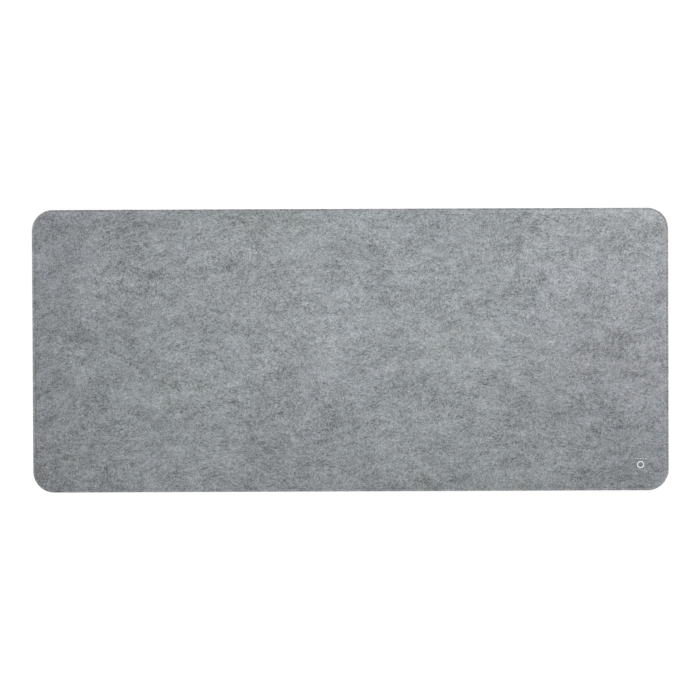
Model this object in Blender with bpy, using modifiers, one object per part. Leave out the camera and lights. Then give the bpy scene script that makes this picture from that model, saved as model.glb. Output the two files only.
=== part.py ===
"""Desk mat: a felt top sheet laminated to an anti-slip rubber sheet and lockstitched round its edge.

Metres, +Z up. The origin is the middle of the underside, where the mat lies on the desk.
+X runs along the mat to the user's right, and +Y runs away from the user.
"""

import math

import bmesh
import bpy

# Outline of all the sheets
MAT_LENGTH = 0.900
MAT_DEPTH = 0.400
CORNER_RADIUS = 0.030
CORNER_STEPS = 12

# Layers, from the desk upwards, with the clearance that keeps each mesh clear of the next
LAYER_GAP = 0.0001
RUBBER_THICKNESS = 0.0015
FILM_THICKNESS = 0.0002
FELT_THICKNESS = 0.0021
FILM_INSET = 0.0006
RUBBER_EDGE_ROUND = 0.0002
FELT_EDGE_ROUND = 0.0006

# Perimeter lockstitch: a needle thread on the felt and a bobbin thread under the rubber.
# Both threads dip towards the middle of the mat at each needle hole, in a groove that they press.
SEAM_INSET = 0.00275
THREAD_DIAMETER = 0.0005
THREAD_DIP = 0.0003
NEEDLE_THREAD_SUNK = 0.00005
BOBBIN_THREAD_SUNK = 0.0001
GROOVE_CLEARANCE = 0.0002
STITCHES = {"right": 59, "back": 157, "left": 66, "front": 154, "corner": 8}

# Printed mark in the corner at the user's right hand, pressed into the felt
MARK_FROM_RIGHT = 0.040
MARK_FROM_FRONT = 0.0385
PRINT_THICKNESS = 0.0001
PRINT_SUNK = 0.00002
RECESS_DEPTH = 0.00018
RECESS_CLEARANCE = 0.0001
CUTTER_RISE = 0.001
RING_DIAMETER = 0.0100
RING_STROKE = 0.0013
RING_DROP = 0.0020
RING_STEPS = 48
DOT_COUNT = 5
DOT_DIAMETER = 0.0013
DOT_PITCH = 0.0036
DOT_RISE = 0.0062
DOT_STEPS = 16

FILM_BOTTOM = RUBBER_THICKNESS + LAYER_GAP
FELT_BOTTOM = FILM_BOTTOM + FILM_THICKNESS + LAYER_GAP
FELT_TOP = FELT_BOTTOM + FELT_THICKNESS
THREAD_RADIUS = THREAD_DIAMETER / 2
NEEDLE_THREAD_Z = FELT_TOP - NEEDLE_THREAD_SUNK - THREAD_RADIUS
BOBBIN_THREAD_Z = BOBBIN_THREAD_SUNK + THREAD_RADIUS
GROOVE_RADIUS = THREAD_RADIUS + THREAD_DIP / 2 + GROOVE_CLEARANCE
MARK_X = MAT_LENGTH / 2 - MARK_FROM_RIGHT
MARK_Y = -MAT_DEPTH / 2 + MARK_FROM_FRONT
PRINT_BOTTOM = FELT_TOP - PRINT_SUNK - PRINT_THICKNESS


def clear_scene():
    for obj in list(bpy.data.objects):
        bpy.data.objects.remove(obj)


def new_collection(name):
    collection = bpy.data.collections.new(name)
    bpy.context.scene.collection.children.link(collection)
    return collection


def new_material(name, color, roughness):
    material = bpy.data.materials.new(name)
    material.use_nodes = True
    shader = material.node_tree.nodes["Principled BSDF"]
    shader.inputs["Base Color"].default_value = (*color, 1.0)
    shader.inputs["Roughness"].default_value = roughness
    shader.inputs["Metallic"].default_value = 0.0
    return material


def rounded_rectangle(inset, straight_steps=(1, 1, 1, 1), corner_steps=CORNER_STEPS):
    """The mat's outline moved inwards by inset, counter-clockwise from the right side's front end.

    straight_steps divides the right, back, left and front sides, and corner_steps each corner.
    """
    radius = CORNER_RADIUS - inset
    reach_x = MAT_LENGTH / 2 - CORNER_RADIUS
    reach_y = MAT_DEPTH / 2 - CORNER_RADIUS
    corners = ((reach_x, reach_y), (-reach_x, reach_y), (-reach_x, -reach_y), (reach_x, -reach_y))
    points = []
    for quarter, steps in enumerate(straight_steps):
        (from_x, from_y), (to_x, to_y) = corners[quarter - 1], corners[quarter]
        out_x = radius * math.cos(math.pi / 2 * quarter)
        out_y = radius * math.sin(math.pi / 2 * quarter)
        for step in range(steps):
            share = step / steps
            x = from_x + (to_x - from_x) * share + out_x
            y = from_y + (to_y - from_y) * share + out_y
            points.append((x, y))
        for step in range(corner_steps):
            angle = math.pi / 2 * (quarter + step / corner_steps)
            points.append((to_x + radius * math.cos(angle), to_y + radius * math.sin(angle)))
    return points


def circle(diameter, steps):
    turns = [2 * math.pi * step / steps for step in range(steps)]
    return [(diameter / 2 * math.cos(turn), diameter / 2 * math.sin(turn)) for turn in turns]


def closed_spline(curve, points):
    spline = curve.splines.new("POLY")
    spline.points.add(len(points) - 1)
    for point, place in zip(spline.points, points):
        height = place[2] if len(place) == 3 else 0.0
        point.co = (place[0], place[1], height, 1.0)
    spline.use_cyclic_u = True


def curve_to_mesh(name, curve_object, collection):
    """Replaces a curve object by a mesh object of the same shape and place, with its caps welded."""
    bpy.context.view_layer.update()
    graph = bpy.context.evaluated_depsgraph_get()
    mesh = bpy.data.meshes.new_from_object(curve_object.evaluated_get(graph))
    work = bmesh.new()
    work.from_mesh(mesh)
    bmesh.ops.remove_doubles(work, verts=work.verts, dist=1e-6)
    bmesh.ops.recalc_face_normals(work, faces=work.faces)
    work.to_mesh(mesh)
    work.free()
    mesh_object = bpy.data.objects.new(name, mesh)
    collection.objects.link(mesh_object)
    mesh_object.matrix_world = curve_object.matrix_world
    bpy.data.objects.remove(curve_object)
    return mesh_object


def flat_piece(name, outlines, bottom, thickness, collection, place=(0.0, 0.0)):
    """A sheet of even thickness between closed outlines, the first outside and any other a hole."""
    curve = bpy.data.curves.new(name + "_outline", "CURVE")
    curve.dimensions = "2D"
    curve.fill_mode = "BOTH"
    curve.extrude = thickness / 2
    for outline in outlines:
        closed_spline(curve, outline)
    outline_object = bpy.data.objects.new(name + "_outline", curve)
    collection.objects.link(outline_object)
    outline_object.location = (*place, bottom + thickness / 2)
    return curve_to_mesh(name, outline_object, collection)


def tube(name, points, radius, bevel_resolution, collection):
    curve = bpy.data.curves.new(name, "CURVE")
    curve.dimensions = "3D"
    curve.twist_mode = "Z_UP"
    curve.bevel_depth = radius
    curve.bevel_resolution = bevel_resolution
    closed_spline(curve, points)
    tube_object = bpy.data.objects.new(name, curve)
    collection.objects.link(tube_object)
    return tube_object


def round_rim(piece, width):
    bevel = piece.modifiers.new("rim", "BEVEL")
    bevel.width = width
    bevel.segments = 2
    bevel.limit_method = "ANGLE"
    bevel.angle_limit = math.radians(60)


def cut_away(piece, cutter):
    cutter.hide_render = True
    cutter.display_type = "WIRE"
    cut = piece.modifiers.new(cutter.name, "BOOLEAN")
    cut.operation = "DIFFERENCE"
    cut.solver = "EXACT"
    cut.object = cutter


def press_groove(piece, height, cutters):
    """Sinks the seam's groove into a sheet, centred at height."""
    path = [(x, y, height) for x, y in rounded_rectangle(SEAM_INSET)]
    name = piece.name + "_groove"
    groove = tube(name + "_path", path, GROOVE_RADIUS, 2, cutters)
    cut_away(piece, curve_to_mesh(name, groove, cutters))


def printed_shapes():
    """Each island of the mark as (name, place, outlines grown by a clearance): a ring and dots."""
    hole_diameter = RING_DIAMETER - 2 * RING_STROKE
    shapes = []

    def ring(grown):
        outside = circle(RING_DIAMETER + 2 * grown, RING_STEPS)
        return [outside, circle(hole_diameter - 2 * grown, RING_STEPS)]

    def dot(grown):
        return [circle(DOT_DIAMETER + 2 * grown, DOT_STEPS)]

    shapes.append(("mark_ring", (MARK_X, MARK_Y - RING_DROP), ring))
    for number in range(DOT_COUNT):
        x = MARK_X + (number - (DOT_COUNT - 1) / 2) * DOT_PITCH
        shapes.append((f"mark_dot_{number + 1}", (x, MARK_Y + DOT_RISE), dot))
    return shapes


def press_mark(felt, cutters):
    """Sinks a shallow recess into the felt for each island of the print."""
    for name, place, outlines in printed_shapes():
        outline = outlines(RECESS_CLEARANCE)
        bottom = FELT_TOP - RECESS_DEPTH
        height = RECESS_DEPTH + CUTTER_RISE
        cut_away(felt, flat_piece(name + "_recess", outline, bottom, height, cutters, place))


def make_layers(parts, cutters):
    outline = [rounded_rectangle(0.0)]
    base = flat_piece("rubber_base", outline, 0.0, RUBBER_THICKNESS, parts)
    base.data.materials.append(new_material("anti_slip_rubber", (0.035, 0.036, 0.038), 0.85))
    round_rim(base, RUBBER_EDGE_ROUND)
    press_groove(base, BOBBIN_THREAD_Z + THREAD_DIP / 2, cutters)

    film_outline = [rounded_rectangle(FILM_INSET)]
    film = flat_piece("bonding_film", film_outline, FILM_BOTTOM, FILM_THICKNESS, parts)
    film.data.materials.append(new_material("hot_melt_film", (0.62, 0.62, 0.60), 0.5))

    felt = flat_piece("felt_top", outline, FELT_BOTTOM, FELT_THICKNESS, parts)
    felt.data.materials.append(new_material("heather_grey_felt", (0.31, 0.33, 0.345), 0.95))
    round_rim(felt, FELT_EDGE_ROUND)
    press_groove(felt, NEEDLE_THREAD_Z - THREAD_DIP / 2, cutters)
    press_mark(felt, cutters)


def stitched_path(height, dip):
    """The thread's line round the seam: at height half-way along each stitch, moved by dip at each hole."""
    halves = [2 * STITCHES[side] for side in ("right", "back", "left", "front")]
    path = rounded_rectangle(SEAM_INSET, halves, 2 * STITCHES["corner"])
    return [(x, y, height + (0.0 if i % 2 else dip)) for i, (x, y) in enumerate(path)]


def make_threads(parts):
    thread = new_material("sewing_thread", (0.45, 0.46, 0.47), 0.7)
    needle_path = stitched_path(NEEDLE_THREAD_Z, -THREAD_DIP)
    bobbin_path = stitched_path(BOBBIN_THREAD_Z, THREAD_DIP)
    for name, path in (("needle_thread", needle_path), ("bobbin_thread", bobbin_path)):
        loop = tube(name, path, THREAD_RADIUS, 0, parts)
        loop.data.materials.append(thread)


def make_printed_mark(parts):
    ink = new_material("white_print", (0.82, 0.82, 0.83), 0.6)
    for name, place, outlines in printed_shapes():
        island = flat_piece(name, outlines(0.0), PRINT_BOTTOM, PRINT_THICKNESS, parts, place)
        island.data.materials.append(ink)


def main():
    clear_scene()
    parts = new_collection("desk_mat")
    cutters = new_collection("desk_mat_cutters")
    make_layers(parts, cutters)
    make_threads(parts)
    make_printed_mark(parts)


main()
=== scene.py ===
import math
import random

import bmesh
import bpy
from mathutils import Matrix, Vector, noise


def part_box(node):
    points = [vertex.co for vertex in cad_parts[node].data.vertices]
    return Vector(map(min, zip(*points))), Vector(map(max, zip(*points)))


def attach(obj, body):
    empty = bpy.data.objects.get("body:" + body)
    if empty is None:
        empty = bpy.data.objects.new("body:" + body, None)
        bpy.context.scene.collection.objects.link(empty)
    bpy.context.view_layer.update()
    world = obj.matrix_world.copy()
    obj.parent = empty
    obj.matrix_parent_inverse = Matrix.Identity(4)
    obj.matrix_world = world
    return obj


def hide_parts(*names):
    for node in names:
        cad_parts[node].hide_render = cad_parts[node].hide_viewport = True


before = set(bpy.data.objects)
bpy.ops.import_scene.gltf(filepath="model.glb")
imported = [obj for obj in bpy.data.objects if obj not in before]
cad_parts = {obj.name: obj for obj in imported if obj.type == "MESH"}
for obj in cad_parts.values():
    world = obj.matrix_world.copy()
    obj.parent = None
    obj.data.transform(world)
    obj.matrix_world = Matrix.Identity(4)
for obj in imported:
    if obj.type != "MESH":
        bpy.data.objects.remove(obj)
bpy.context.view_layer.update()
millimetre = 0.001
feltLow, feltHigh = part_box("felt_top")
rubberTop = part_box("rubber_base")[1].z
halfLength, halfDepth = feltHigh.x, feltHigh.y
print("frame loaded with", len(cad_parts), "nodes")


class Value:
    # a node's output; arithmetic on it adds the Math nodes
    def __init__(self, finish, socket):
        self.finish = finish
        self.socket = socket

    def __add__(self, other):
        return self.finish.maths("ADD", self, other)

    def __sub__(self, other):
        return self.finish.maths("SUBTRACT", self, other)

    def __mul__(self, other):
        return self.finish.maths("MULTIPLY", self, other)

    def __truediv__(self, other):
        return self.finish.maths("DIVIDE", self, other)

    def __rsub__(self, other):
        return self.finish.maths("SUBTRACT", other, self)

    __radd__ = __add__
    __rmul__ = __mul__


class Finish:
    # a material and the nodes behind its shader
    def __init__(self, name, constants):
        self.material = bpy.data.materials.new(name)
        self.material.use_nodes = True
        self.tree = self.material.node_tree
        self.shader = self.tree.nodes["Principled BSDF"]
        for socketName, value in constants.items():
            self.feed(self.shader.inputs[socketName], value)
        self.place = self.node("ShaderNodeTexCoord", output="Object")

    def feed(self, socket, value):
        if isinstance(value, Value):
            self.tree.links.new(value.socket, socket)
        elif socket.type == "RGBA":
            socket.default_value = (*value[:3], 1)
        else:
            socket.default_value = value

    def node(self, kind, settings={}, values={}, output=0):
        made = self.tree.nodes.new(kind)
        for name, setting in settings.items():
            setattr(made, name, setting)
        for socketName, value in values.items():
            self.feed(made.inputs[socketName], value)
        return Value(self, made.outputs[output])

    def maths(self, operation, first, second):
        return self.node("ShaderNodeMath", {"operation": operation}, {0: first, 1: second})

    def vectors(self, operation, values):
        return self.node("ShaderNodeVectorMath", {"operation": operation}, values)

    def between(self, value, low, high):
        # 0 below low, 1 above high and smooth in between
        settings = {"interpolation_type": "SMOOTHSTEP"}
        values = {"Value": value, "From Min": low, "From Max": high}
        return self.node("ShaderNodeMapRange", settings, values)

    def mix(self, factor, first, second):
        # a Mix node's colours are its inputs 6 and 7 and its output 2
        values = {0: factor, 6: first, 7: second}
        return self.node("ShaderNodeMix", {"data_type": "RGBA"}, values, output=2)

    def shade(self, colour, brightness):
        return self.vectors("SCALE", {"Vector": colour, "Scale": brightness})

    def attribute(self, name):
        return self.node("ShaderNodeAttribute", {"attribute_name": name}, output="Fac")

    def swirled(self, size, amount):
        # the place moved about by up to half of amount, which bends whatever is drawn with it
        values = {"Vector": self.place, "Scale": 1 / size, "Detail": 1}
        swirl = self.node("ShaderNodeTexNoise", {}, values, output="Color")
        centred = self.vectors("SUBTRACT", {0: swirl, 1: (0.5, 0.5, 0.5)})
        return self.vectors("MULTIPLY_ADD", {0: centred, 1: (amount,) * 3, 2: self.place})

    def clouds(self, size, stretch=1.0, turn=0.0, detail=0.0, roughness=0.5, warp=0.0, place=None):
        # smooth noise around zero, in blobs of about size metres and stretch times longer along turn
        values = {"Vector": place or self.place, "Rotation": (0, 0, -turn)}
        turned = self.node("ShaderNodeMapping", {}, values)
        shift = (2.3 + 41 * size, 1.1 + turn, 0.4)  # so that no two patterns line up
        values = {"Vector": turned, "Location": shift, "Scale": (1 / stretch, 1, 1)}
        moved = self.node("ShaderNodeMapping", {}, values)
        values = {"Vector": moved, "Scale": 1 / size, "Detail": detail, "Roughness": roughness,
                  "Distortion": warp}
        return self.node("ShaderNodeTexNoise", {}, values) - 0.5

    def output(self, socketName, value):
        self.feed(self.shader.inputs[socketName], value)

    def bump(self, height):
        # height in metres
        values = {"Height": height, "Distance": 1.0, "Strength": 1.0}
        self.output("Normal", self.node("ShaderNodeBump", {}, values))

    def cover(self, piece):
        piece.data.materials.clear()
        piece.data.materials.append(self.material)


def finishedPiece(name, bm, sharpAngle=180):
    # sharpAngle in degrees
    bmesh.ops.recalc_face_normals(bm, faces=bm.faces)
    mesh = bpy.data.meshes.new(name)
    bm.to_mesh(mesh)
    bm.free()
    mesh.shade_smooth()
    if sharpAngle < 180:
        mesh.set_sharp_from_angle(angle=math.radians(sharpAngle))
    piece = bpy.data.objects.new(name, mesh)
    bpy.context.scene.collection.objects.link(piece)
    print(f"{name}: {sum(len(face.vertices) - 2 for face in mesh.polygons)} triangles")
    return piece


def wander(x, y, size, seed):
    # smooth random value around zero at a point, in bumps of about size metres
    return noise.noise(Vector((x / size + 7.3 * seed, y / size - 3.9 * seed, 1.7 * seed)))


def smoothRise(share):
    share = min(max(share, 0.0), 1.0)
    return share * share * (3 - 2 * share)


def repeated(bm, count):
    # copies of all that bm holds, made by doubling it; gives each copy's points
    sizes = len(bm.verts), len(bm.edges), len(bm.faces)
    copies = 1
    while copies < count:
        extra = min(copies, count - copies)
        geom = []
        for items, size in zip((bm.verts, bm.edges, bm.faces), sizes):
            geom += items[:][:extra * size]
        bmesh.ops.duplicate(bm, geom=geom)
        copies += extra
    points = bm.verts[:]
    return [points[number * sizes[0]:(number + 1) * sizes[0]] for number in range(count)]


# The seam, which sets the columns of every stitched sheet
seam = {
    "sideStitches": (59, 157, 66, 154),  # right, back, left, front
    "cornerStitches": 8,
    "columns": 6,  # mesh columns to a stitch
    "cornerRadius": 30 * millimetre,
    "besideHole": 0.18,  # pull of a needle hole one column away from it
    "edgeWaver": 0.10 * millimetre,  # how far the cut edge strays
    "waverReach": 2.2 * millimetre,  # how far in from the edge that is felt
    # size in metres, seed and strength of each wave of the straying
    "wavers": ((0.011, 3, 1.0), (0.0035, 4, 0.7), (0.060, 5, 0.5)),
    # how hard each side was sewn
    "tension": {"right": 1.0, "back": 0.45, "left": 0.85, "front": 0.45},
}
# where the straight sides end and the round corners begin
reachX, reachY = halfLength - seam["cornerRadius"], halfDepth - seam["cornerRadius"]


def roundedOutline(bm, inset, height):
    # a circle pulled apart into four corners, with the straight sides between them divided
    radius = seam["cornerRadius"] - inset
    centres = ((reachX, reachY), (-reachX, reachY), (-reachX, -reachY), (reachX, -reachY))
    points = seam["cornerStitches"] * seam["columns"] + 1
    made = bmesh.ops.create_circle(bm, segments=4 * points, radius=radius, cap_ends=True)
    circle = made["verts"]
    for number, point in enumerate(circle):
        quarter, step = divmod(number, points)
        angle = math.pi / 2 * (quarter + step / (points - 1))
        x, y = centres[quarter]
        point.co = (x + radius * math.cos(angle), y + radius * math.sin(angle), height)
    corners = range(0, 4 * points, points)
    sides = [bm.edges.get((circle[corner - 1], circle[corner])) for corner in corners]
    for side, stitches in zip(sides, seam["sideStitches"]):
        bmesh.ops.subdivide_edges(bm, edges=[side], cuts=stitches * seam["columns"] - 1)
    bm.faces.ensure_lookup_table()
    bm.normal_update()
    return bm.faces[0]


def stitchedRim(bm, rows):
    # rows of (inset, height) run from the bonded face, round the cut edge, to past the seam
    # gives the ring of points of each row
    face = roundedOutline(bm, *rows[0])
    for (fromInset, fromHeight), (toInset, toHeight) in zip(rows, rows[1:]):
        bmesh.ops.inset_region(bm, faces=[face], thickness=toInset - fromInset,
                               depth=toHeight - fromHeight, use_boundary=True, use_even_offset=True)
    # the rings are found from the inside outwards
    rings = [list(face.verts)]
    known = set(rings[0])
    while len(rings) < len(rows):
        nextRing = []
        for point in rings[-1]:
            ends = [edge.other_vert(point) for edge in point.link_edges]
            nextRing.append(next(end for end in ends if end not in known))
        known.update(nextRing)
        rings.append(nextRing)
    rings.reverse()
    bmesh.ops.delete(bm, geom=[face], context="FACES_ONLY")
    outermost = set(rings[0])
    bonded = [edge for edge in bm.edges if edge.is_boundary and edge.verts[0] in outermost]
    bmesh.ops.contextual_create(bm, geom=bonded)
    return rings


def roundedGrid(bm, inset, height, cell):
    # a grid whose corners are drawn in to the mat's rounded corners
    sizeX, sizeY = halfLength - inset, halfDepth - inset
    radius = seam["cornerRadius"] - inset
    cellsX, cellsY = round(2 * sizeX / cell), round(2 * sizeY / cell)
    matrix = Matrix.Translation((0, 0, height)) @ Matrix.Diagonal((sizeX, sizeY, 1, 1))
    grid = bmesh.ops.create_grid(bm, x_segments=cellsX, y_segments=cellsY, size=1, matrix=matrix)
    for point in grid["verts"]:
        across = (abs(point.co.x) - sizeX + radius) / radius
        along = (abs(point.co.y) - sizeY + radius) / radius
        if across > 0 and along > 0:
            x = sizeX - radius + radius * across * math.sqrt(1 - along * along / 2)
            y = sizeY - radius + radius * along * math.sqrt(1 - across * across / 2)
            point.co.x, point.co.y = math.copysign(x, point.co.x), math.copysign(y, point.co.y)
    return grid["verts"]


def bridgeToGrid(bm):
    # the rim's last ring and the grid's edge are joined side by side and corner by corner
    parts = {}
    for edge in bm.edges:
        if edge.is_boundary:
            middle = (edge.verts[0].co + edge.verts[1].co) / 2
            atEnd = abs(middle.x) > reachX and math.copysign(1, middle.x)
            atSide = abs(middle.y) > reachY and math.copysign(1, middle.y)
            parts.setdefault((atEnd, atSide), []).append(edge)
    for edges in parts.values():
        bmesh.ops.bridge_loops(bm, edges=edges)


def outwards(x, y):
    # the way out of the mat at a point of its rim
    nearX = min(max(x, -reachX), reachX)
    nearY = min(max(y, -reachY), reachY)
    return Vector((x - nearX, y - nearY, 0)).normalized()


def sewnTension(x, y):
    # each side's own, blended round the corners
    out = outwards(x, y)
    endwise = seam["tension"]["right" if out.x > 0 else "left"]
    sidewise = seam["tension"]["back" if out.y > 0 else "front"]
    return endwise * out.x * out.x + sidewise * out.y * out.y


def holeNearness(column):
    # 1 at a needle hole, less one column away, 0 further along the stitch
    away = min(column % seam["columns"], -column % seam["columns"])
    return {0: 1.0, 1: seam["besideHole"]}.get(away, 0.0)


def waverEdge(rings, insets):
    # both sheets are cut in one stroke, so their edges stray together
    for ring, inset in zip(rings, insets):
        fade = 1 - smoothRise(inset / seam["waverReach"])
        for point in ring:
            x, y = point.co.x, point.co.y
            stray = sum(share * wander(x, y, size, seed) for size, seed, share in seam["wavers"])
            point.co += outwards(x, y) * stray * fade * seam["edgeWaver"]


felt = {
    # inset, height where sewn hard and extra height where not sewn at all, in millimetres
    "rows": (
        (0.55, 0.00, 0), (0.45, -0.28, 0), (0.00, -0.30, 0), (0.00, 0.35, 0), (0.00, 0.95, 0),
        (0.04, 1.48, 0.04), (0.14, 1.78, 0.11), (0.45, 1.95, 0.22), (0.95, 1.93, 0.33),
        (1.45, 1.82, 0.36), (1.95, 1.64, 0.44), (2.40, 1.40, 0.62), (2.75, 1.30, 0.65),
        (3.10, 1.37, 0.64), (3.60, 1.56, 0.51), (4.30, 1.82, 0.22), (5.20, 2.02, -0.05),
        (6.40, 2.09, -0.07)),
    "seamRow": 12,
    "cutRows": (3, 8),
    "fieldInset": 7.8 * millimetre,
    "fieldDrop": 0.01 * millimetre,  # how far the field's grid lies below the top
    "cell": 2.95 * millimetre,
    "holeDepth": 0.42 * millimetre,
    "looseHole": 0.4,  # part of that depth left where the seam has no tension
    "pillow": 0.08 * millimetre,  # how far the felt swells beside the middle of a stitch
    # swelling and pull of the needle, by rows from the seam
    "swell": {-3: 0.6, -2: 1.0, -1: 0.3, 1: 0.3, 2: 1.0, 3: 0.5},
    "pull": {-2: 0.10, -1: 0.40, 0: 1.0, 1: 0.40, 2: 0.10},
    # the next three are painted shade: in the needle holes, less of it where the seam is loose, and
    # along a loose seam
    "holeShade": 1.5,  # shade in a needle hole for each part of the pull
    "looseShade": 0.1,  # part of a hole's shade left where the seam has no tension
    "creviceShade": 0.25,  # shade along a loose seam
    "wearInset": 1.6,  # millimetres of rim that are fully worn and lightened, and over how many more it fades
    "wearFade": 2.4,
    "cutFade": 0.7,  # millimetres of face that share the cut edge's painted shade
    "relief": 0.050 * millimetre,
    # stretch along the mat, size in metres, seed and strength of the relief's bumps
    "bumps": ((1.4, 0.007, 1, 1.0), (1.5, 0.020, 2, 0.8), (1.0, 0.0032, 6, 0.5)),
    "reliefAbove": 1.3 * millimetre,  # the relief is only on the face, not on the cut edge
    "markPress": 0.13 * millimetre,  # the heat press's print in the felt
    "markMargin": 4 * millimetre,
}


def markBounds():
    nodes = [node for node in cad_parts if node.startswith("mark_")]
    corners = [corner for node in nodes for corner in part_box(node)]
    low = Vector([min(corner[axis] for corner in corners) for axis in range(3)])
    high = Vector([max(corner[axis] for corner in corners) for axis in range(3)])
    return low, high


def makeFeltTop():
    bm = bmesh.new()
    # what the finish reads of the seam and the edge: painted shade in the needle holes, along the
    # loose seams and on the cut edge, and the lighter worn rim, which is also painted light
    layers, names = bm.verts.layers.float, ("paintedHoleShade", "wornRimAndPaintedLight", "cutEdgeShade")
    for name in names:
        layers.new(name)
    holeShadeLayer, wearAndLightLayer, cutShadeLayer = (layers[name] for name in names)
    rows = []
    for inset, height, loose in felt["rows"]:
        rows.append((inset * millimetre, feltLow.z + height * millimetre))
    rings = stitchedRim(bm, rows)
    roundedGrid(bm, felt["fieldInset"], feltHigh.z - felt["fieldDrop"], felt["cell"])
    bridgeToGrid(bm)
    holes = []
    for rowNumber, (ring, (inset, height, loose)) in enumerate(zip(rings, felt["rows"])):
        fromSeam = rowNumber - felt["seamRow"]
        worn = 1 - smoothRise((inset - felt["wearInset"]) / felt["wearFade"])
        # painted shade on the cut edge and the face just inside it
        cut = (1 - smoothRise(inset / felt["cutFade"])) if rowNumber > 1 else 0.0
        for column, point in enumerate(ring):
            x, y = point.co.x, point.co.y
            tension = sewnTension(x, y)
            uneven = 1 + 0.5 * wander(x, y, 0.009, 9)
            near = holeNearness(column) * felt["pull"].get(fromSeam, 0)
            middle = 0.5 - 0.5 * math.cos(2 * math.pi * column / seam["columns"])
            point.co.z += loose * millimetre * (1 - tension)
            if fromSeam == 0 and column % seam["columns"] == 0:
                holes.append(point.co.copy())
            drawnDown = felt["looseHole"] + (1 - felt["looseHole"]) * tension
            point.co.z -= felt["holeDepth"] * near * uneven * drawnDown
            point.co.z += felt["pillow"] * middle * felt["swell"].get(fromSeam, 0) * uneven
            # painted shade in the needle holes and along the loose seams
            shaded = felt["looseShade"] + (1 - felt["looseShade"]) * tension * tension
            point[holeShadeLayer] = min(1.0, felt["holeShade"] * near) * shaded
            if -2 <= fromSeam <= 1:
                point[holeShadeLayer] += felt["creviceShade"] * (1 - tension)
            # worn rim, lighter where sewn hard: wear, and painted light on the outer lip and the
            # seam groove
            point[wearAndLightLayer] = worn * min(1.0, 1.3 * tension - 0.3)
            point[cutShadeLayer] = cut
    waverEdge(rings, [inset for inset, height in rows])
    markLow, markHigh = markBounds()
    for point in bm.verts:
        if point.co.z > feltLow.z + felt["reliefAbove"]:
            x, y = point.co.x, point.co.y
            relief = 0.0
            for stretch, size, seed, share in felt["bumps"]:
                relief += share * wander(x / stretch, y, size, seed)
            point.co.z += felt["relief"] * relief
            outside = max(markLow.x - x, x - markHigh.x, markLow.y - y, y - markHigh.y)
            point.co.z -= felt["markPress"] * (1 - smoothRise(outside / felt["markMargin"]))
    return finishedPiece("feltTop", bm), holes


feltTop, needleHoles = makeFeltTop()
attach(feltTop, "root")
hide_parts("felt_top")

feltLook = {
    # blob size in millimetres, strength, stretch along the mat, turn in degrees
    "mottle": (
        (210, 0.12, 1.2, -35), (100, 0.08, 1.4, -25), (52, 0.24, 1.5, 24), (27, 0.24, 1.6, 18),
        (13.5, 0.38, 1.8, 5), (6.8, 0.41, 1.8, -9), (3.4, 0.57, 1.5, 14), (1.7, 1.31, 1.2, -14),
        (0.8, 0.75, 1.25, 20)),
    "blobWarp": 0.35,
    "drawnBelow": 40,  # millimetres; smaller blobs lie along drawn lines that turn with the place
    # size and amount of the bending of those lines and of the single fibres
    "drawn": (110 * millimetre, 42 * millimetre),
    "tangle": (2.6 * millimetre, 3.2 * millimetre),
    "fibreWidth": 0.12 * millimetre,
    "fibreStretch": 14,
    "fibreTurns": (12, 71, -48, 133),
    "fibreContrast": 0.38,
    "fibreBump": 0.045,  # millimetres
    "softBump": 0.10,
    # the four casts between which the grey drifts
    "coolGreen": (0.2260, 0.2566, 0.2626),
    "warmGreen": (0.2364, 0.2566, 0.2516),
    "coolPurple": (0.2337, 0.2440, 0.2714),
    "warmPurple": (0.2441, 0.2440, 0.2600),
    # size and strength of the small and the wide patches in which they drift
    "warmPatches": ((14 * millimetre, 1.6), (120 * millimetre, 0.4)),
    "purplePatches": ((6 * millimetre, 2.1), (230 * millimetre, 0.4)),
    "purpleShare": 0.43,
    "purpleAtEnds": 0.20,  # how much more of it there is at the mat's two ends
    "rim": (0.284, 0.291, 0.304),  # the worn fibres outside the seam, lighter also as painted light on the outer lip and the seam groove
    # how much the cut edge's painted shade darkens the felt
    "cutShadeStrength": 0.25,
    # how much the painted shade of the needle holes and loose seams darkens the felt
    "holeShadeStrength": 0.95,
}


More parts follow.
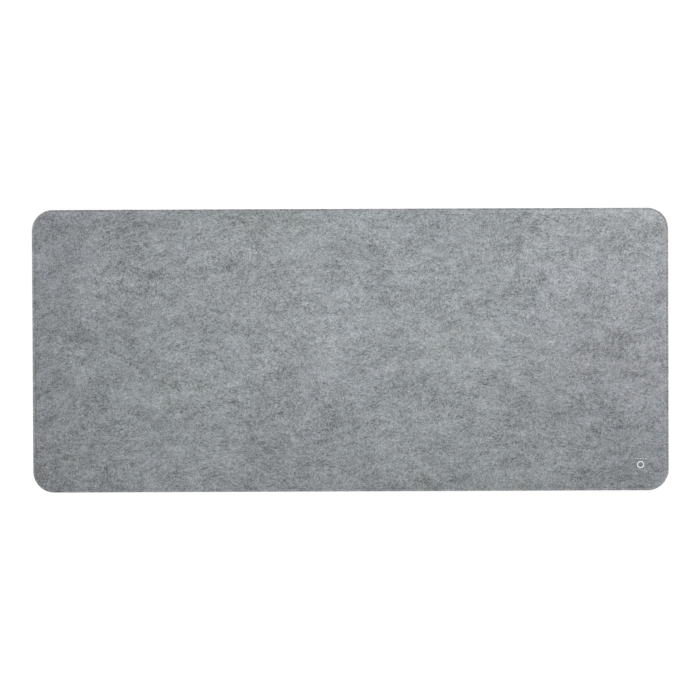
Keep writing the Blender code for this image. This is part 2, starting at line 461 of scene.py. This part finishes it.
def makeFeltFinish():
    finish = Finish("heatherFelt", {
        "Specular IOR Level": 0.25, "Sheen Weight": 0.12, "Sheen Roughness": 0.55})
    mottle = 0.0
    drawn = finish.swirled(*feltLook["drawn"])
    for size, strength, stretch, turn in feltLook["mottle"]:
        place = drawn if size < feltLook["drawnBelow"] else None
        blobs = finish.clouds(size * millimetre, stretch, math.radians(turn),
                              warp=feltLook["blobWarp"], place=place)
        mottle = mottle + strength * blobs
    fibres = 0.0
    tangle = finish.swirled(*feltLook["tangle"])
    for turn in feltLook["fibreTurns"]:
        layer = finish.clouds(feltLook["fibreWidth"], feltLook["fibreStretch"], math.radians(turn),
                              detail=1, place=tangle)
        fibres = fibres + layer
    (small, strong), (wide, faint) = feltLook["warmPatches"]
    warmth = finish.clouds(small, 1.4, 0.3, detail=3, roughness=0.75) * strong
    warmth = finish.between(warmth + faint * finish.clouds(wide) + 0.5, 0.0, 1.0)
    (small, strong), (wide, faint) = feltLook["purplePatches"]
    purple = finish.clouds(small, 1.4, -0.5, detail=3, roughness=0.9) * strong
    purple = purple + faint * finish.clouds(wide, 1.2)
    endwise = finish.node("ShaderNodeSeparateXYZ", {}, {"Vector": finish.place}) / halfLength
    purple = purple + feltLook["purpleShare"] + feltLook["purpleAtEnds"] * endwise * endwise
    purple = finish.between(purple, 0.0, 1.0)
    green = finish.mix(warmth, feltLook["coolGreen"], feltLook["warmGreen"])
    violet = finish.mix(warmth, feltLook["coolPurple"], feltLook["warmPurple"])
    colour = finish.mix(purple, green, violet)
    # worn rim colour, which is also painted light on the outer lip and the seam groove
    colour = finish.mix(finish.attribute("wornRimAndPaintedLight"), colour, feltLook["rim"])
    brightness = 1 + mottle + feltLook["fibreContrast"] * fibres
    # painted shade of the needle holes and the loose seams
    shaded = 1 - feltLook["holeShadeStrength"] * finish.attribute("paintedHoleShade")
    # painted shade on the cut edge
    shaded = shaded * (1 - feltLook["cutShadeStrength"] * finish.attribute("cutEdgeShade"))
    finish.output("Base Color", finish.shade(colour, brightness * shaded))
    finish.output("Roughness", 0.9 + 0.2 * mottle)
    soft = finish.clouds(2.4 * millimetre, 1.4, 0.4, detail=3, roughness=0.6)
    finish.bump((feltLook["softBump"] * soft + feltLook["fibreBump"] * fibres) * millimetre)
    return finish


feltFinish = makeFeltFinish()
feltFinish.cover(feltTop)
print("felt done")


thread = {
    "width": 0.50 * millimetre,
    "lobes": (1.0, 0.72),  # the plies stand out from a round thread in turn
    "sides": 6,
    "steps": 12,
    "twist": math.radians(430),
    "endShare": 0.20,  # part of the stitch in which it rises out of its hole
    "endDrop": 0.75 * millimetre,
    # how far the middle of each thread lies out of its groove
    "needleRise": 0.20 * millimetre,
    "bobbinRise": 0.16 * millimetre,
    "jitter": 0.05 * millimetre,
    "colour": (0.435, 0.44, 0.45),
}


def twistedStitch(bm):
    # a lobed section drawn one unit along X as it turns, closed at both ends
    lie = Matrix.Rotation(math.pi / 2, 4, "Y")
    bmesh.ops.create_circle(bm, segments=thread["sides"], radius=thread["width"] / 2, matrix=lie)
    for number, point in enumerate(bm.verts):
        point.co *= thread["lobes"][number % 2]
    bmesh.ops.spin(bm, geom=bm.verts[:] + bm.edges[:], cent=(0, 0, 0), axis=(1, 0, 0),
                   dvec=(1 / thread["steps"], 0, 0), angle=thread["twist"], steps=thread["steps"])
    bmesh.ops.holes_fill(bm, edges=[edge for edge in bm.edges if edge.is_boundary])


def stitchedThread(name, holes, rise, upwards):
    # one stitch from each needle hole to the next, diving into the sheet at both ends
    # upwards is 1 on the felt and -1 under the rubber
    bm = bmesh.new()
    chance = random.Random(len(name))
    twistedStitch(bm)
    for number, points in enumerate(repeated(bm, len(holes))):
        hole = holes[number]
        onward = holes[(number + 1) % len(holes)] - hole
        turn = Matrix.Rotation(math.atan2(onward.y, onward.x), 3, "Z")
        roll = Matrix.Rotation(chance.uniform(0, math.pi), 3, "X")
        sideways, lift = chance.gauss(0, thread["jitter"]), chance.gauss(0, thread["jitter"])
        for point in points:
            x, y, z = roll @ point.co
            up = smoothRise(min(x, 1 - x) / thread["endShare"])
            height = z + rise + lift * up - thread["endDrop"] * (1 - up)
            point.co = hole + turn @ Vector((x * onward.length, y + sideways * up, upwards * height))
    return finishedPiece(name, bm)


needleStitches = stitchedThread("needleStitches", needleHoles, thread["needleRise"], 1)
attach(needleStitches, "root")
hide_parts("needle_thread")


def makeThreadFinish():
    finish = Finish("sewingThread", {
        "Roughness": 0.6, "Specular IOR Level": 0.4, "Sheen Weight": 0.1})
    uneven = finish.clouds(3.1 * millimetre, detail=2) + 0.6 * finish.clouds(0.16 * millimetre)
    finish.output("Base Color", finish.shade(thread["colour"], 1 + 0.7 * uneven))
    finish.bump(0.02 * millimetre * finish.clouds(0.12 * millimetre))
    return finish


threadFinish = makeThreadFinish()
threadFinish.cover(needleStitches)
print("needle thread done")


rubber = {
    # inset and depth below the bonded face, in millimetres
    "rows": (
        (0.55, 0.00), (0.45, -0.08), (0.04, -0.08), (0.00, -0.02), (0.00, 0.70), (0.00, 1.30),
        (0.08, 1.45), (0.30, 1.50), (1.60, 1.50), (2.05, 1.26), (2.75, 0.92), (3.45, 1.26),
        (3.95, 1.50)),
    "seamRow": 10,
    "padInset": 5.4 * millimetre,
    "pad": 6.0 * millimetre,
    "padGap": 0.45 * millimetre,  # half the groove between two pads
    "padHeight": 0.28 * millimetre,
    "holeDepth": 0.25 * millimetre,
    "colour": (0.030, 0.031, 0.033),
}
film = {
    "colour": (0.42, 0.42, 0.40),
}


def makeRubberBase():
    # made with its bonded face down, then turned over
    bm = bmesh.new()
    rows = [(inset * millimetre, depth * millimetre) for inset, depth in rubber["rows"]]
    rings = stitchedRim(bm, rows)
    padLevel = rows[-1][1] - rubber["padHeight"]
    pads = roundedGrid(bm, rubber["padInset"], padLevel, rubber["pad"])
    padFaces = list(dict.fromkeys(face for point in pads for face in point.link_faces))
    bridgeToGrid(bm)
    bmesh.ops.inset_individual(bm, faces=padFaces, thickness=rubber["padGap"],
                               depth=rubber["padHeight"])
    holes = []
    for column, point in enumerate(rings[rubber["seamRow"]]):
        if column % seam["columns"] == 0:
            holes.append(Vector((point.co.x, point.co.y, rubberTop - point.co.z)))
        point.co.z -= rubber["holeDepth"] * holeNearness(column)
    waverEdge(rings, [inset for inset, depth in rows])
    bmesh.ops.scale(bm, vec=(1, 1, -1), verts=bm.verts)
    bmesh.ops.translate(bm, vec=(0, 0, rubberTop), verts=bm.verts)
    return finishedPiece("rubberBase", bm, sharpAngle=30), holes


rubberBase, bobbinHoles = makeRubberBase()
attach(rubberBase, "root")
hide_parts("rubber_base")
bobbinStitches = stitchedThread("bobbinStitches", bobbinHoles, thread["bobbinRise"], -1)
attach(bobbinStitches, "root")
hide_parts("bobbin_thread")
threadFinish.cover(bobbinStitches)


def makeRubberFinish():
    finish = Finish("antiSlipRubber", {"Specular IOR Level": 0.35})
    dust = finish.clouds(35 * millimetre, detail=3, roughness=0.6)
    speckle = finish.clouds(0.9 * millimetre, detail=2)
    finish.output("Base Color", finish.shade(rubber["colour"], 1 + 0.5 * dust + 0.5 * speckle))
    finish.output("Roughness", 0.72 + 0.25 * dust)
    finish.bump(0.04 * millimetre * speckle)
    return finish


def makeFilmFinish():
    finish = Finish("bondingWeb", {"Specular IOR Level": 0.4})
    web = finish.clouds(4 * millimetre, 2.0, 0.6, detail=3)
    web = web + finish.clouds(1.1 * millimetre, 3.0, -0.7, detail=1)
    finish.output("Base Color", finish.shade(film["colour"], 1 + 0.8 * web))
    finish.output("Roughness", 0.45 + 0.5 * web)
    finish.bump(0.03 * millimetre * web)
    return finish


makeRubberFinish().cover(rubberBase)
makeFilmFinish().cover(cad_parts["bonding_film"])
print("underside done")


mark = {
    "ringStroke": 1.3 * millimetre,
    "ringSteps": 64,
    "dotSteps": 20,
    "thickness": 0.10 * millimetre,
    "soften": 0.035 * millimetre,
    "roughEdge": 0.05 * millimetre,
    "ink": (0.84, 0.84, 0.85),
    "fibreThrough": (0.30, 0.32, 0.33),
}


def makePrintedRing():
    # a flat section turned once round the ring's middle
    low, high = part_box("mark_ring")
    outer = (high.x - low.x) / 2
    inner = outer - mark["ringStroke"]
    centre = Vector(((low.x + high.x) / 2, (low.y + high.y) / 2, 0))
    bm = bmesh.new()
    bmesh.ops.create_grid(bm, x_segments=1, y_segments=1, size=0.5)
    place = Matrix.Translation(((outer + inner) / 2, 0, (low.z + high.z) / 2))
    lie = place @ Matrix.Rotation(math.pi / 2, 4, "X")
    size = Matrix.Diagonal((outer - inner, mark["thickness"], 1, 1))
    bmesh.ops.transform(bm, matrix=lie @ size, verts=bm.verts)
    bmesh.ops.delete(bm, geom=bm.faces[:], context="FACES_ONLY")
    bmesh.ops.spin(bm, geom=bm.verts[:] + bm.edges[:], cent=(0, 0, 0), axis=(0, 0, 1),
                   angle=2 * math.pi, steps=mark["ringSteps"], use_merge=True)
    softenPrint(bm)
    bmesh.ops.translate(bm, vec=centre, verts=bm.verts)
    return finishedPiece("printedRing", bm, sharpAngle=50)


def makePrintedDots():
    bm = bmesh.new()
    for number in range(1, 6):
        low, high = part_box(f"mark_dot_{number}")
        place = Matrix.Translation(((low.x + high.x) / 2, (low.y + high.y) / 2, low.z))
        disc = bmesh.ops.create_circle(bm, segments=mark["dotSteps"], radius=(high.x - low.x) / 2,
                                       cap_ends=True, matrix=place)["verts"]
        upper = bmesh.ops.extrude_face_region(bm, geom=list(disc[0].link_faces))["geom"]
        raised = [item for item in upper if isinstance(item, bmesh.types.BMVert)]
        bmesh.ops.translate(bm, vec=(0, 0, mark["thickness"]), verts=raised)
    softenPrint(bm)
    return finishedPiece("printedDots", bm, sharpAngle=50)


def softenPrint(bm):
    rims = [edge for edge in bm.edges if edge.calc_face_angle(0) > 1]
    bmesh.ops.bevel(bm, geom=rims, offset=mark["soften"], affect="EDGES", segments=2, profile=0.5,
                    material=-1)
    # ink creeps along the fibres, so no edge of it is true
    for point in bm.verts:
        x, y = point.co.x, point.co.y
        point.co.x += mark["roughEdge"] * wander(x, y, 0.0007, 11)
        point.co.y += mark["roughEdge"] * wander(x, y, 0.0007, 12)


printedRing = makePrintedRing()
printedDots = makePrintedDots()
dotNodes = [f"mark_dot_{number}" for number in range(1, 6)]
for piece, nodes in ((printedRing, ["mark_ring"]), (printedDots, dotNodes)):
    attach(piece, "root")
    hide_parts(*nodes)


def makeInkFinish():
    finish = Finish("whitePrint", {"Specular IOR Level": 0.35})
    fibres = finish.clouds(0.25 * millimetre, 6, 0.4, detail=1)
    fibres = fibres + finish.clouds(0.22 * millimetre, 6, 1.9, detail=1)
    bare = finish.between(fibres, 0.12, 0.32)
    finish.output("Base Color", finish.mix(0.5 * bare, mark["ink"], mark["fibreThrough"]))
    finish.output("Roughness", 0.55 + 0.3 * bare)
    finish.bump(0.03 * millimetre * fibres)
    return finish


inkFinish = makeInkFinish()
inkFinish.cover(printedRing)
inkFinish.cover(printedDots)
print("mark done")


fuzz = {
    "edgeCount": 2300,
    "faceCount": 3600,
    "width": 0.045 * millimetre,
    "sides": 3,
    "steps": 6,
    "edgeLength": (0.7, 2.6),  # millimetres
    "faceLength": (2.0, 7.0),
    "curl": 0.75,
    "taper": 0.6,
    "droop": 1.6,  # how much of its first slope a fibre loses by its end
    "edgeSpread": 0.9,  # radians off the straight way out
    "edgeClimb": 0.35,  # slope at the root
    "faceClimb": (0.05, 0.25),
    "edgeRoot": 0.12,  # millimetres in from the cut edge
    "edgeLowest": 0.2 * millimetre,
    "keepOff": 7 * millimetre,  # from the mark, and more than that from the seam
    "faceRise": 0.03 * millimetre,  # level above the felt from which the next two are measured down
    "faceRoot": 0.09 * millimetre,
    "faceLowest": 0.06 * millimetre,
    "colour": (0.27, 0.285, 0.295),
}


def straightFibres(bm, count):
    # three-sided fibres one unit long, lying along X
    lie = Matrix.Rotation(math.pi / 2, 4, "Y")
    bmesh.ops.create_circle(bm, segments=fuzz["sides"], radius=fuzz["width"] / 2, matrix=lie)
    bmesh.ops.spin(bm, geom=bm.verts[:] + bm.edges[:], cent=(0, 0, 0), axis=(1, 0, 0),
                   dvec=(1 / fuzz["steps"], 0, 0), angle=0, steps=fuzz["steps"])
    bmesh.ops.holes_fill(bm, edges=[edge for edge in bm.edges if edge.is_boundary])
    return repeated(bm, count)


def layFibre(points, chance, root, heading, length, climb, lowest):
    # bends a straight fibre along a wandering line that comes down no lower than lowest
    line = [Vector(root)]
    for step in range(fuzz["steps"]):
        heading += chance.gauss(0, fuzz["curl"]) / 2
        run = length / fuzz["steps"]
        slope = climb * (1 - fuzz["droop"] * step / fuzz["steps"])
        reach = line[-1] + Vector((run * math.cos(heading), run * math.sin(heading), run * slope))
        reach.z = max(reach.z, lowest)
        line.append(reach)
    for point in points:
        step = round(point.co.x * fuzz["steps"])
        ahead = (line[min(step + 1, fuzz["steps"])] - line[max(step - 1, 0)]).normalized()
        across = Vector((-ahead.y, ahead.x, 0)).normalized()
        thin = 1 - fuzz["taper"] * step / fuzz["steps"]
        point.co = line[step] + thin * (across * point.co.y + ahead.cross(across) * point.co.z)


def makeEdgeFuzz():
    # loose fibre ends along the cut edge
    bm = bmesh.new()
    chance = random.Random(41)
    rim = felt["rows"][felt["cutRows"][0]:felt["cutRows"][1]]
    outline = bmesh.new()
    path = [point.co.copy() for point in roundedOutline(outline, 0.0, 0.0).verts]
    outline.free()
    for points in straightFibres(bm, fuzz["edgeCount"]):
        here = chance.randrange(len(path))
        start = path[here].lerp(path[(here + 1) % len(path)], chance.random())
        out = outwards(start.x, start.y)
        inset, height, loose = chance.choice(rim)
        level = Vector((0, 0, feltLow.z + height * millimetre))
        root = start - out * (inset + fuzz["edgeRoot"]) * millimetre + level
        heading = math.atan2(out.y, out.x) + chance.gauss(0, fuzz["edgeSpread"])
        length = chance.uniform(*fuzz["edgeLength"]) * millimetre
        climb = chance.gauss(0.0, fuzz["edgeClimb"])
        layFibre(points, chance, root, heading, length, climb, fuzz["edgeLowest"])
    return finishedPiece("edgeFuzz", bm)


def makeSurfaceFuzz():
    # loose fibres lying on the face, kept off the seam and the mark
    bm = bmesh.new()
    chance = random.Random(57)
    markLow, markHigh = markBounds()
    keepOff = fuzz["keepOff"]
    top = feltHigh.z + fuzz["faceRise"]
    for points in straightFibres(bm, fuzz["faceCount"]):
        x, y = markLow.x, markLow.y
        while max(markLow.x - x, x - markHigh.x, markLow.y - y, y - markHigh.y) < keepOff:
            x = chance.uniform(-1, 1) * (halfLength - 3 * keepOff)
            y = chance.uniform(-1, 1) * (halfDepth - 2 * keepOff)
        heading = chance.gauss(0, 1.0)
        length = chance.uniform(*fuzz["faceLength"]) * millimetre
        climb = chance.uniform(*fuzz["faceClimb"])
        root = (x, y, top - fuzz["faceRoot"])
        layFibre(points, chance, root, heading, length, climb, top - fuzz["faceLowest"])
    return finishedPiece("surfaceFuzz", bm)


edgeFuzz = makeEdgeFuzz()
surfaceFuzz = makeSurfaceFuzz()


def makeFuzzFinish():
    finish = Finish("looseFibre", {
        "Roughness": 0.7, "Specular IOR Level": 0.3, "Sheen Weight": 0.2})
    shadeOfGrey = finish.clouds(2.5 * millimetre, detail=1)
    finish.output("Base Color", finish.shade(fuzz["colour"], 1 + 1.5 * shadeOfGrey))
    return finish


fuzzFinish = makeFuzzFinish()
for piece in (edgeFuzz, surfaceFuzz):
    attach(piece, "root")
    fuzzFinish.cover(piece)
print("fuzz done")


view = {
    "lens": 85,
    "place": (-0.00067, 0.02535, 2.3422),
    "tilt": math.radians(-0.615),
    "turn": math.radians(-0.234),
}
studio = {
    "floorSize": 30,
    "floorColour": (0.16, 0.16, 0.16),
    "floorGlow": 0.92,
    "worldLight": 0.04,
    "worldSeen": 0.92,
    # place, aim, size in metres, power in watts and half the angle it spreads to
    "lights": {
        "softKey": ((1.107, 0.798, 0.600), (0.0, 0.0, 0.0), 1.0, 30.1, math.radians(90)),
        "endFill": ((-0.610, 0.226, 1.308), (0.0, 0.0, 0.0), 0.5, 4.0, math.radians(43)),
    },
}


def makeStudio():
    bm = bmesh.new()
    bmesh.ops.create_grid(bm, x_segments=1, y_segments=1, size=studio["floorSize"] / 2)
    floor = finishedPiece("studioFloor", bm)
    paper = Finish("paleFloor", {
        "Roughness": 0.9, "Specular IOR Level": 0.0, "Base Color": studio["floorColour"],
        "Emission Color": (1, 1, 1), "Emission Strength": studio["floorGlow"]})
    paper.cover(floor)
    world = bpy.data.worlds.new("studioWorld")
    bpy.context.scene.world = world
    world.use_nodes = True
    nodes, links = world.node_tree.nodes, world.node_tree.links
    lighting, backdrop = nodes["Background"], nodes.new("ShaderNodeBackground")
    lighting.inputs["Strength"].default_value = studio["worldLight"]
    backdrop.inputs["Strength"].default_value = studio["worldSeen"]
    for shader in (lighting, backdrop):
        shader.inputs["Color"].default_value = (1, 1, 1, 1)
    seen, choice = nodes.new("ShaderNodeLightPath"), nodes.new("ShaderNodeMixShader")
    links.new(seen.outputs["Is Camera Ray"], choice.inputs[0])
    links.new(lighting.outputs[0], choice.inputs[1])
    links.new(backdrop.outputs[0], choice.inputs[2])
    links.new(choice.outputs[0], nodes["World Output"].inputs["Surface"])
    for name, (place, aim, size, power, spread) in studio["lights"].items():
        lamp = bpy.data.lights.new(name, "AREA")
        lamp.shape = "SQUARE"
        lamp.size = size
        lamp.energy = power
        lamp.spread = 2 * spread
        light = bpy.data.objects.new(name, lamp)
        light.location = place
        light.rotation_euler = (Vector(place) - Vector(aim)).to_track_quat("Z", "Y").to_euler()
        light.visible_camera = False
        bpy.context.scene.collection.objects.link(light)


def makeCamera():
    camera = bpy.data.objects.new("topCamera", bpy.data.cameras.new("topCamera"))
    camera.data.lens = view["lens"]
    camera.data.sensor_width = 36
    camera.data.clip_end = 50
    camera.location = view["place"]
    camera.rotation_euler = (view["tilt"], 0, view["turn"])
    bpy.context.scene.collection.objects.link(camera)
    bpy.context.scene.camera = camera
    bpy.context.scene.view_settings.view_transform = "Standard"


makeStudio()
makeCamera()
print("studio done")
